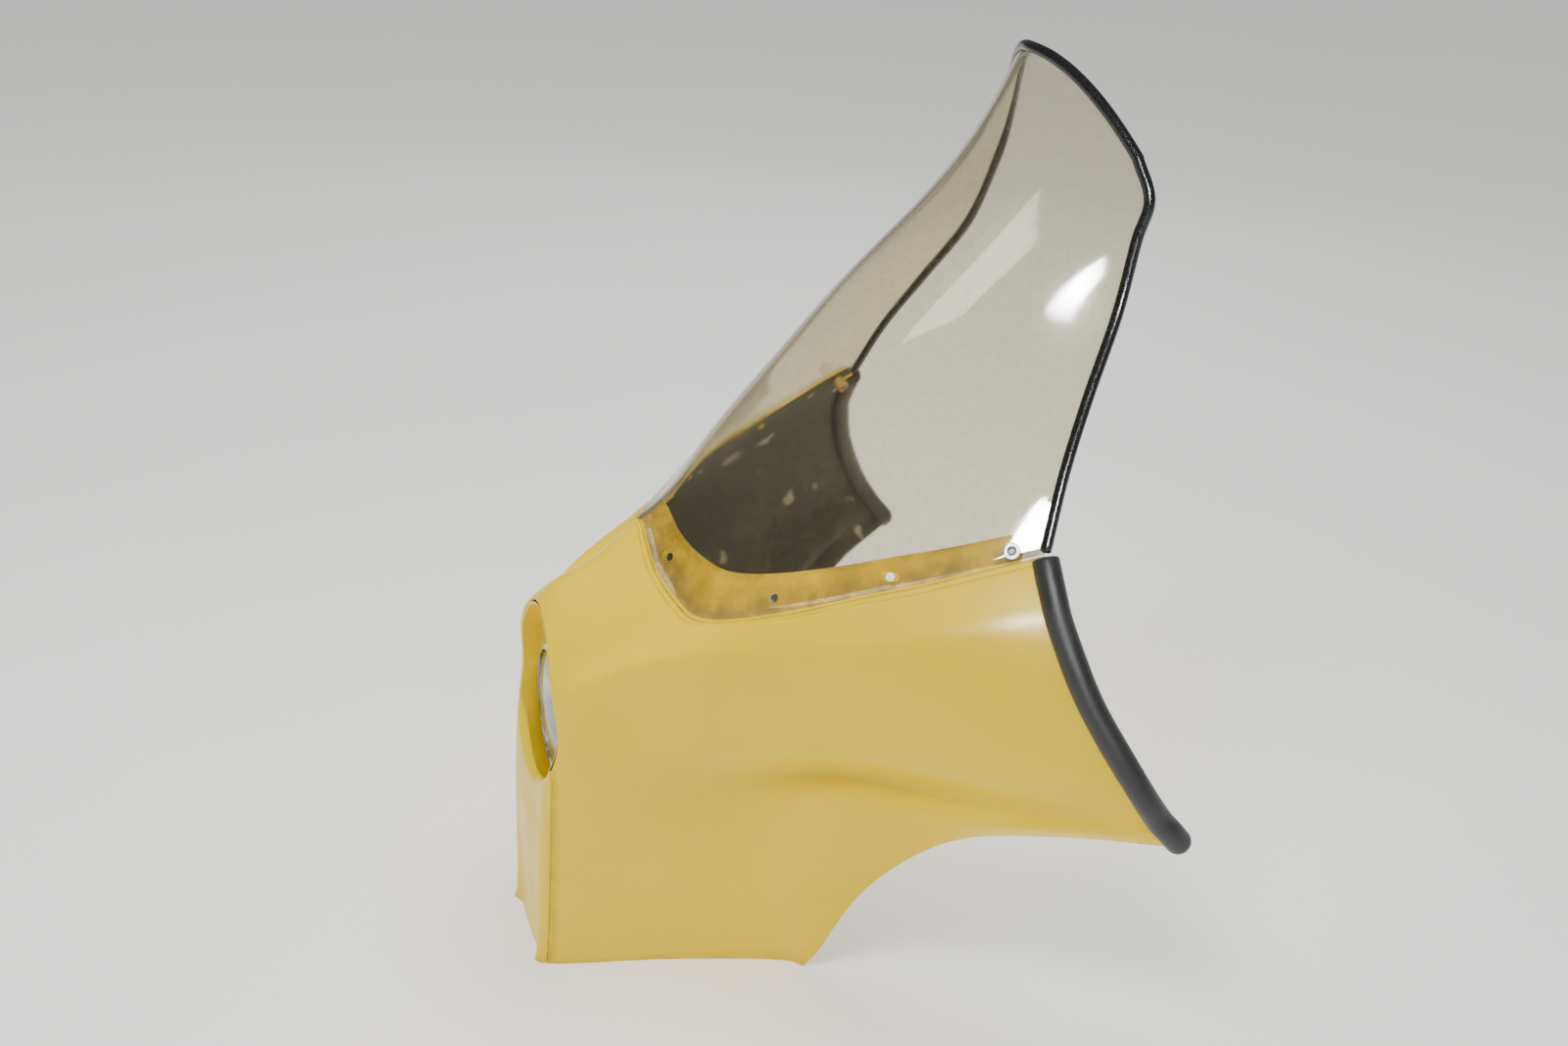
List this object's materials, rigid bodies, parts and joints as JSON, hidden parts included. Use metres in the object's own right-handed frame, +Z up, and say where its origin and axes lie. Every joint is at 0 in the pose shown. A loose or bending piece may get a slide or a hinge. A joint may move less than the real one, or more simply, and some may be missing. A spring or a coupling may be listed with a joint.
{
  "type": "motorcycle half fairing with windshield screen",
  "caption": "Nose fairing for a motorcycle: a moulded shell with a tall tinted screen, black edge trims and a headlamp that tilts for aim.",
  "frame": {"origin": "centre of the bounding box in X and Y, at the bottom; the floor is Z = 0 under the lower edge", "axes": "+Z up, the nose points to -Y, +X is the machine's left side, and the mirror plane is X = 0"},
  "size_m": [0.743, 0.5661, 0.9349],
  "materials": {
    "paint": "gloss",
    "tinted_sheet": "clear gloss",
    "black_moulding": "gloss",
    "soft_trim": "satin",
    "zinc_fixings": "satin",
    "tan_rubber": "matte",
    "carrier_steel": "satin",
    "frame_steel": "satin",
    "chromed_rim": "polished",
    "lamp_glass": "clear",
    "gasket_rubber": "matte",
    "mirror_coating": "polished",
    "bulb_metal": "satin",
    "nylon": "matte",
    "lug_plastic": "matte",
    "insert_brass": "satin"
  },
  "bodies": {
    "fairing": {"fairing_shell": "paint", "nose_panel": "paint", "lamp_surround": "paint", "screen": "tinted_sheet", "screen_edge_trim": "black_moulding", "rear_trim_left": "soft_trim", "rear_trim_right": "soft_trim", "screen_screws": "zinc_fixings", "screen_washers": "zinc_fixings", "carrier_screws": "zinc_fixings", "carrier_nuts": "zinc_fixings", "pivot_bolts": "zinc_fixings", "well_nuts": "tan_rubber", "lamp_carrier": "carrier_steel", "upper_lug_left": "lug_plastic", "upper_lug_right": "lug_plastic", "lower_lug_left": "lug_plastic", "lower_lug_right": "lug_plastic", "lug_inserts": "insert_brass"},
    "lamp": {"lamp_frame": "frame_steel", "lamp_rim": "chromed_rim", "lamp_lens": "lamp_glass", "lens_gasket": "gasket_rubber", "reflector": "mirror_coating", "bulb_glass": "lamp_glass", "bulb_base": "bulb_metal", "bulb_clip": "carrier_steel", "bulb_boot": "gasket_rubber", "adjuster_socket": "nylon"},
    "adjuster": {"adjuster_screw": "zinc_fixings"}
  },
  "joints": [
    {"name": "lamp_tilt", "type": "hinge", "parent": "fairing", "child": "lamp", "pos_m": [0, -0.22754, 0.268], "axis": [1, 0, 0], "range_deg": [-4, 4]},
    {"name": "adjuster_slide", "type": "slide", "parent": "fairing", "child": "adjuster", "axis": [0, 1, 0], "range_m": [-0.0067, 0.0067]}
  ],
  "couplings": [
    {"joint": "adjuster_slide", "follows": "lamp_tilt", "m_per_rad": 0.092}
  ]
}
